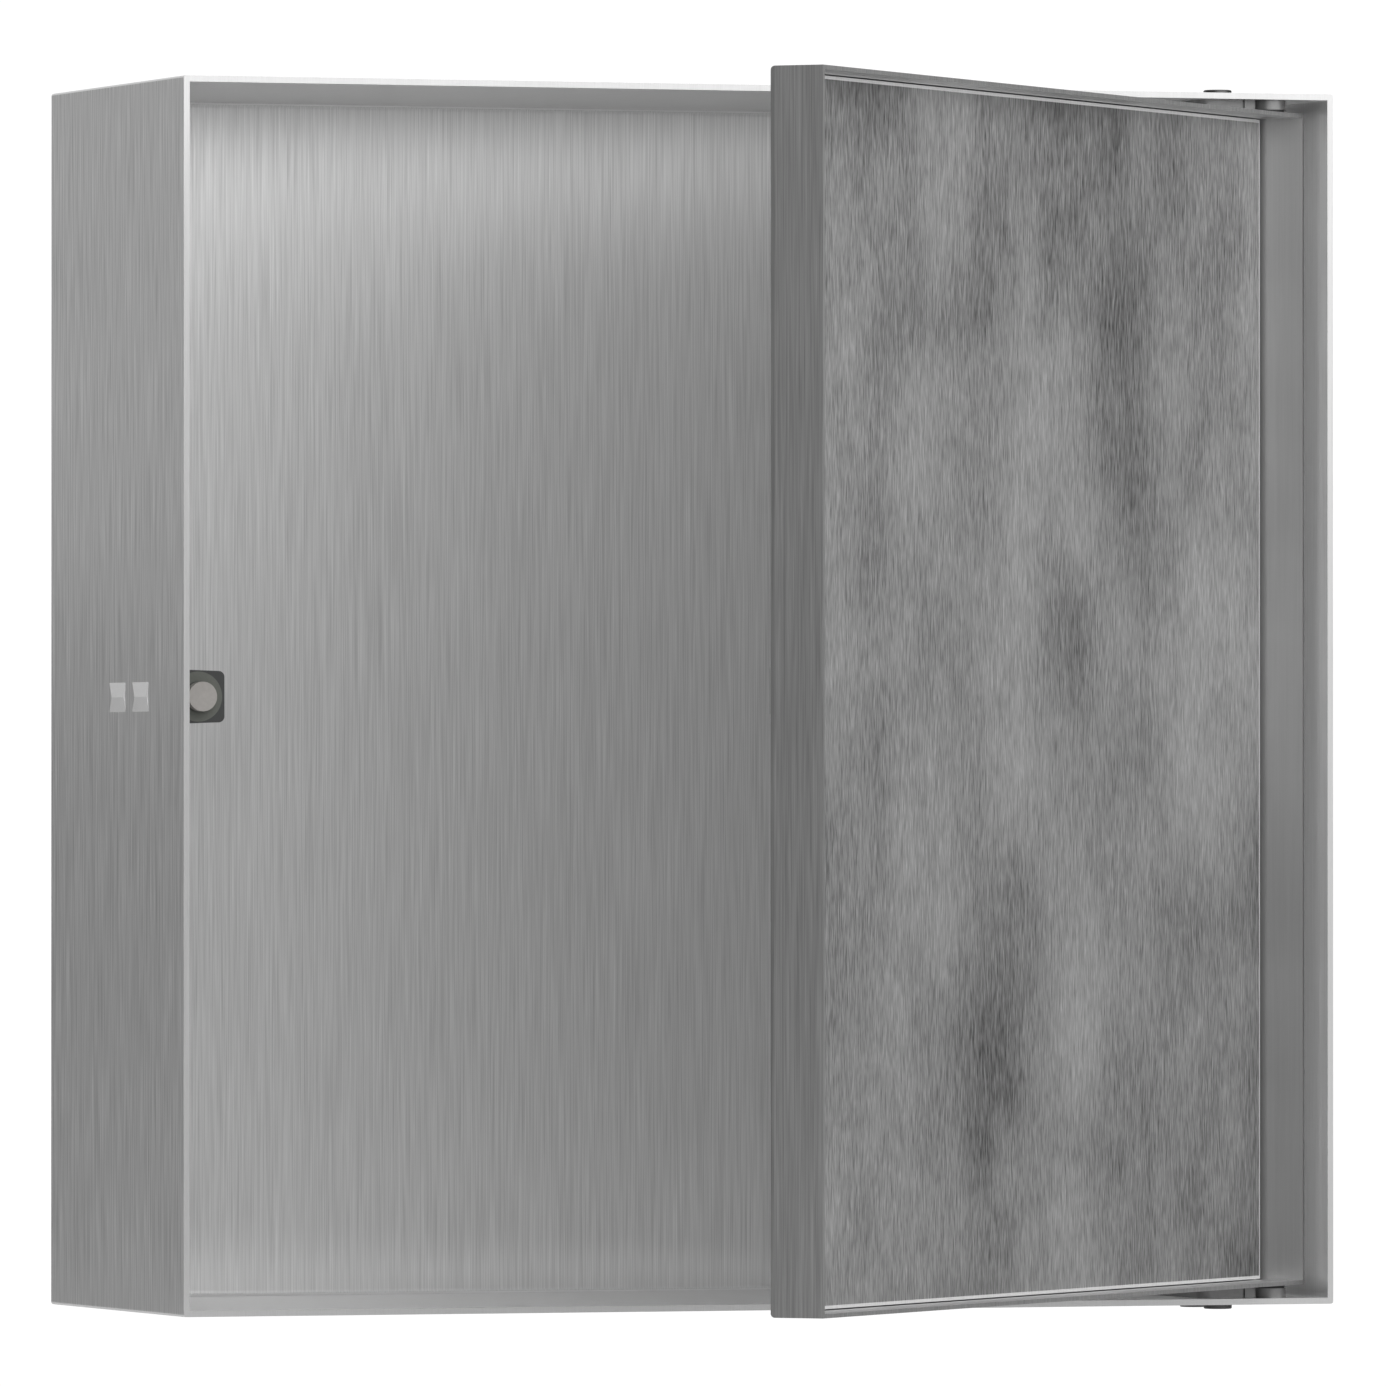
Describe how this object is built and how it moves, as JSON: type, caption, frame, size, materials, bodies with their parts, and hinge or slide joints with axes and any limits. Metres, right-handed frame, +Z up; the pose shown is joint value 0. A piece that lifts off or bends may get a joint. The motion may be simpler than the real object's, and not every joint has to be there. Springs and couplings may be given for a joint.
{
  "type": "recessed medicine cabinet",
  "caption": "Square brushed steel cabinet for a wall recess, with a shallow tray door on pivot hinges, a plate let into the door and a magnetic push latch.",
  "frame": {"origin": "centre of the case's back face, where it meets the wall recess", "axes": "+X to the right seen from the front, +Y into the wall, +Z up; the door is stored standing open by 45 degrees"},
  "size_m": [0.3002, 0.3016, 0.3032],
  "materials": {
    "case_steel": "vertically brushed stainless sheet",
    "tray_steel": "vertically brushed stainless sheet",
    "plate_steel": "vertically brushed plate with a cloudy tone",
    "bracket_steel": "dark satin steel",
    "screw_steel": "dark satin steel",
    "stud_steel": "turned steel",
    "bush_plastic": "natural plastic",
    "washer_plastic": "black plastic",
    "latch_plastic": "dark grey plastic",
    "plunger_plastic": "grey plastic",
    "collar_metal": "dull grey metal",
    "magnet_metal": "dull nickel",
    "clip_steel": "bright spring steel",
    "spring_steel": "spring wire",
    "strike_steel": "satin steel",
    "bond": "cured adhesive"
  },
  "bodies": {
    "cabinet": {"case_shell": "case_steel", "hinge_bracket_top": "bracket_steel", "hinge_bracket_bottom": "bracket_steel", "hinge_screws_top": "screw_steel", "hinge_screws_bottom": "screw_steel", "pivot_bush_top": "bush_plastic", "pivot_bush_bottom": "bush_plastic", "thrust_washer_bottom": "washer_plastic", "latch_housing": "latch_plastic", "latch_collar": "collar_metal", "latch_end_cap": "latch_plastic", "latch_clip": "clip_steel", "latch_spring": "spring_steel"},
    "door": {"door_tray": "tray_steel", "door_plate": "plate_steel", "plate_bond": "bond", "pivot_stud_top": "stud_steel", "pivot_stud_bottom": "stud_steel", "thrust_washer_top": "washer_plastic", "strike_plate": "strike_steel"},
    "plunger": {"latch_plunger": "plunger_plastic", "latch_magnet": "magnet_metal"}
  },
  "joints": [
    {"name": "door_hinge", "type": "hinge", "parent": "cabinet", "child": "door", "pos_m": [0.1353, -0.0989, 0], "axis": [0, 0, 1], "range_deg": [-45, 65]},
    {"name": "latch_push", "type": "slide", "parent": "cabinet", "child": "plunger", "axis": [0, 1, 0], "range_m": [0, 0.0037], "stiffness_N_per_m": 300, "springref_m": -0.003, "deforming": ["latch_spring"]}
  ]
}
